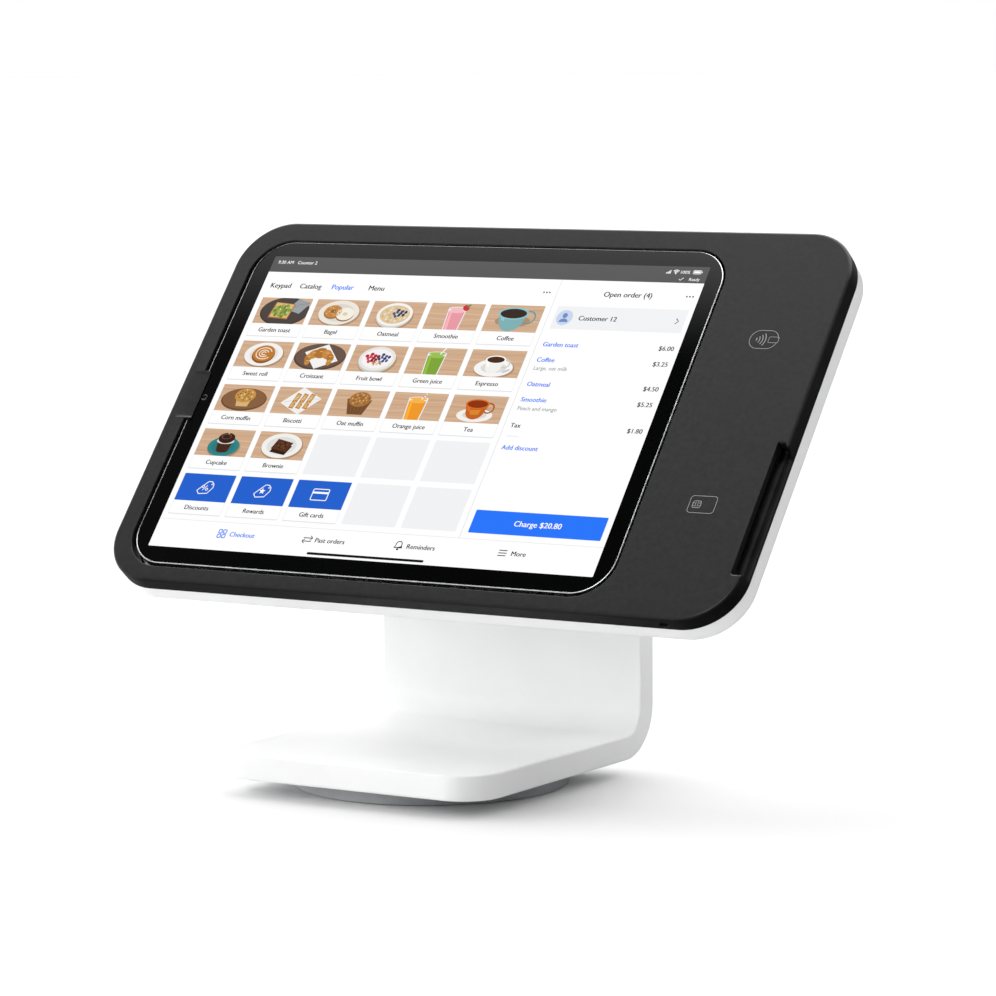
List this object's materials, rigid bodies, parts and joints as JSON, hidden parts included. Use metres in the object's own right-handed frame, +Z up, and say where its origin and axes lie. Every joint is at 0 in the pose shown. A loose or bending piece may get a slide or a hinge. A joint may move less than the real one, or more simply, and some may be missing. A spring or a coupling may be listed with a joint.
{
  "type": "card payment terminal",
  "caption": "Counter-top payment terminal: a tablet and a card reader in a tilting head, on a bent stand that swivels on a round foot.",
  "frame": {"origin": "middle of the round foot's underside, on the swivel axis, where the terminal rests on the counter", "axes": "+X to the right as the cashier sees the screen, +Y to the back, +Z up"},
  "size_m": [0.319, 0.181, 0.2354],
  "materials": {
    "white_shell": "gloss white moulded shell",
    "charcoal_frame": "fine-textured charcoal",
    "foot_grey": "satin mid grey",
    "pale_grey_cover": "matt pale grey",
    "rubber": "matt black",
    "acetal": "natural",
    "steel": "bright zinc plated",
    "aluminium": "bead blasted, bright edge",
    "brass": "plain",
    "copper": "copper track",
    "glass_black": "polished, black border",
    "screen": "lit display",
    "black_plastic": "matt black",
    "board_green": "solder mask"
  },
  "bodies": {
    "foot": {"foot_disc": "foot_grey", "foot_pad": "rubber", "thrust_washer": "acetal", "swivel_post": "steel", "retaining_washer": "steel", "post_screw": "steel"},
    "stand": {"stand_arm": "white_shell", "bottom_cover": "pale_grey_cover", "base_screw_1": "steel", "base_screw_2": "steel", "base_screw_3": "steel", "base_screw_4": "steel", "counterweight": "steel", "swivel_bush": "acetal", "neck_rear_cover": "white_shell", "neck_screw_1": "steel", "neck_screw_2": "steel", "power_socket": "steel", "inlet_board": "board_green", "neck_connector": "black_plastic", "neck_cable": "black_plastic"},
    "head": {"front_frame": "charcoal_frame", "rear_cover": "white_shell", "head_chassis": "aluminium", "tablet_cushion": "rubber", "rear_screw_1": "steel", "rear_screw_2": "steel", "rear_screw_3": "steel", "rear_screw_4": "steel", "tablet_housing": "aluminium", "tablet_glass": "glass_black", "tablet_display": "screen", "tablet_battery": "black_plastic", "tablet_board": "board_green", "front_camera": "black_plastic", "card_guide": "black_plastic", "contact_block": "brass", "reader_board": "board_green", "shield_can": "steel", "nfc_antenna": "copper", "dock_plug": "black_plastic", "latch_housing": "black_plastic", "latch_spring": "steel", "tilt_shaft": "steel", "hinge_bracket_left": "steel", "hinge_bracket_right": "steel", "friction_washer_left": "brass", "friction_washer_right": "brass", "hinge_nut_left": "steel", "hinge_nut_right": "steel", "hinge_cover_left": "white_shell", "hinge_cover_right": "white_shell"},
    "release_latch": {"release_latch": "steel"},
    "power_button": {"power_button": "aluminium"},
    "volume_up_button": {"volume_up_button": "aluminium"},
    "volume_down_button": {"volume_down_button": "aluminium"}
  },
  "joints": [
    {"name": "base_swivel", "type": "hinge", "parent": "foot", "child": "stand", "pos_m": [0, 0, 0.0067], "axis": [0, 0, 1], "range_deg": [-180, 180]},
    {"name": "head_tilt", "type": "hinge", "parent": "stand", "child": "head", "pos_m": [0, 0.0698, 0.15692], "axis": [1, 0, 0], "range_deg": [-20, 25]},
    {"name": "latch_slide", "type": "slide", "parent": "head", "child": "release_latch", "axis": [0, 0.6339, 0.7734], "range_m": [0, 0.003], "stiffness_N_per_m": 300, "springref_m": -0.002, "deforming": ["latch_spring"]},
    {"name": "power_press", "type": "slide", "parent": "head", "child": "power_button", "axis": [1, 0, 0], "range_m": [0, 0.0003], "stiffness_N_per_m": 900, "springref_m": -0.0004},
    {"name": "volume_up_press", "type": "slide", "parent": "head", "child": "volume_up_button", "axis": [0, -0.6339, -0.7734], "range_m": [0, 0.0003], "stiffness_N_per_m": 900, "springref_m": -0.0004},
    {"name": "volume_down_press", "type": "slide", "parent": "head", "child": "volume_down_button", "axis": [0, -0.6339, -0.7734], "range_m": [0, 0.0003], "stiffness_N_per_m": 900, "springref_m": -0.0004}
  ]
}
